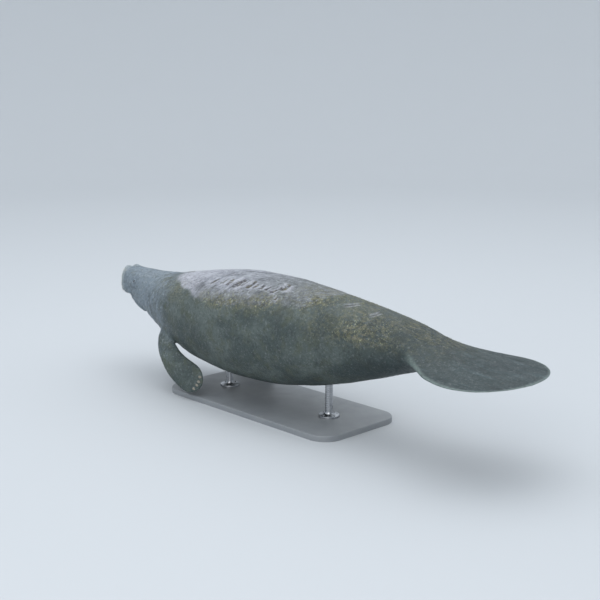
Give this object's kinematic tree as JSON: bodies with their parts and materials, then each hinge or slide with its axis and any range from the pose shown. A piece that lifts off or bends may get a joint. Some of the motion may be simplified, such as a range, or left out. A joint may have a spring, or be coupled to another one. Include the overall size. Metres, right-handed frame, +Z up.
{
  "type": "manatee display model on a stand",
  "caption": "Life-size still model of an adult manatee floating level, held by a flat base and two short rods.",
  "frame": {"origin": "on the floor, under the middle of the animal's length", "axes": "+X runs from the head to the tail, +Y to the animal's right, +Z up"},
  "size_m": [3.0043, 0.662, 0.719],
  "materials": {
    "skin": "damp wrinkled grey hide, paler on the back, with algae and healed scars",
    "eye": "small dark glossy eye",
    "stand_base": "satin grey powder coat",
    "stand_rod": "turned and brushed steel"
  },
  "bodies": {
    "root": {"head": "skin", "lower_jaw": "skin", "neck": "skin", "chest": "skin", "belly": "skin", "tail_stock": "skin", "tail_paddle": "skin", "flipper_left": "skin", "flipper_right": "skin", "eye_left": "eye", "eye_right": "eye", "stand_base": "stand_base", "stand_rod_front": "stand_rod", "stand_rod_rear": "stand_rod"}
  },
  "joints": []
}
